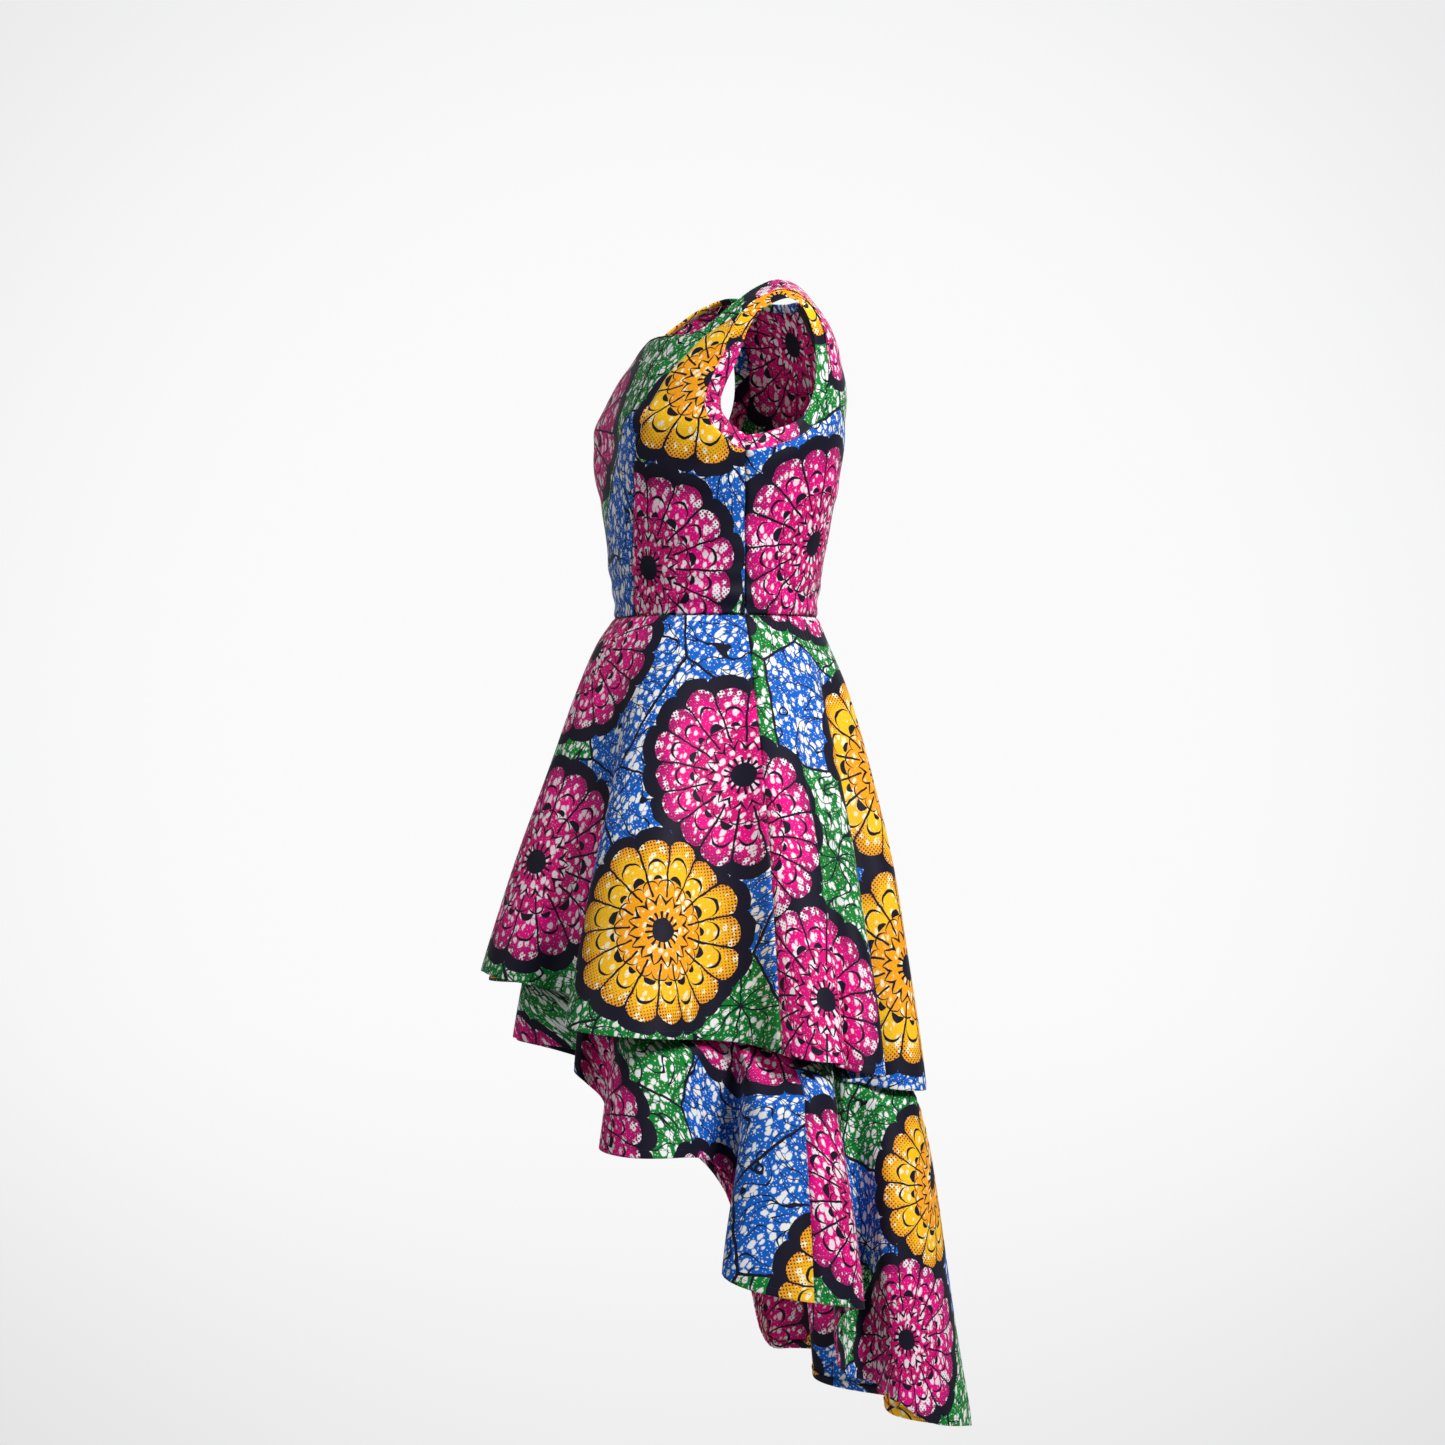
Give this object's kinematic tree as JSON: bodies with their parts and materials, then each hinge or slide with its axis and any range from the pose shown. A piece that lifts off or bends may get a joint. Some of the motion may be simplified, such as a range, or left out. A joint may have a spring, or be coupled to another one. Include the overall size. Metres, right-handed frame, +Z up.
{
  "type": "pleated dress",
  "caption": "Sleeveless two-tier dress with a fitted bodice and a flared skirt, short in front and long behind, in bright wax-print cotton.",
  "frame": {"origin": "midway between the neck ends of the two shoulder seams, where the wearer's shoulders hold the dress up", "axes": "+Z up, the front of the dress faces -Y, the wearer's left is +X"},
  "size_m": [0.6174, 0.5291, 1.2524],
  "materials": {
    "print_green": "matte",
    "print_blue": "matte",
    "print_magenta": "matte",
    "print_yellow": "matte",
    "zip_tape": "matte",
    "zip_metal": "satin"
  },
  "bodies": {
    "dress": {"bodice_front": "print_green", "bodice_side_left": "print_blue", "bodice_side_right": "print_blue", "bodice_back_left": "print_magenta", "bodice_back_right": "print_magenta", "armhole_facing_left": "print_yellow", "armhole_facing_right": "print_yellow", "upper_front": "print_magenta", "upper_back_left": "print_blue", "upper_back_right": "print_green", "lower_front": "print_green", "lower_back_left": "print_yellow", "lower_back_right": "print_blue", "zip_tape": "zip_tape", "zip_slider": "zip_metal"},
    "zip_pull": {"zip_pull": "zip_metal"}
  },
  "joints": [
    {"name": "pull_hinge", "type": "hinge", "parent": "dress", "child": "zip_pull", "pos_m": [0, 0.0708, -0.0245], "axis": [1, 0, 0], "range_deg": [0, 150]}
  ]
}
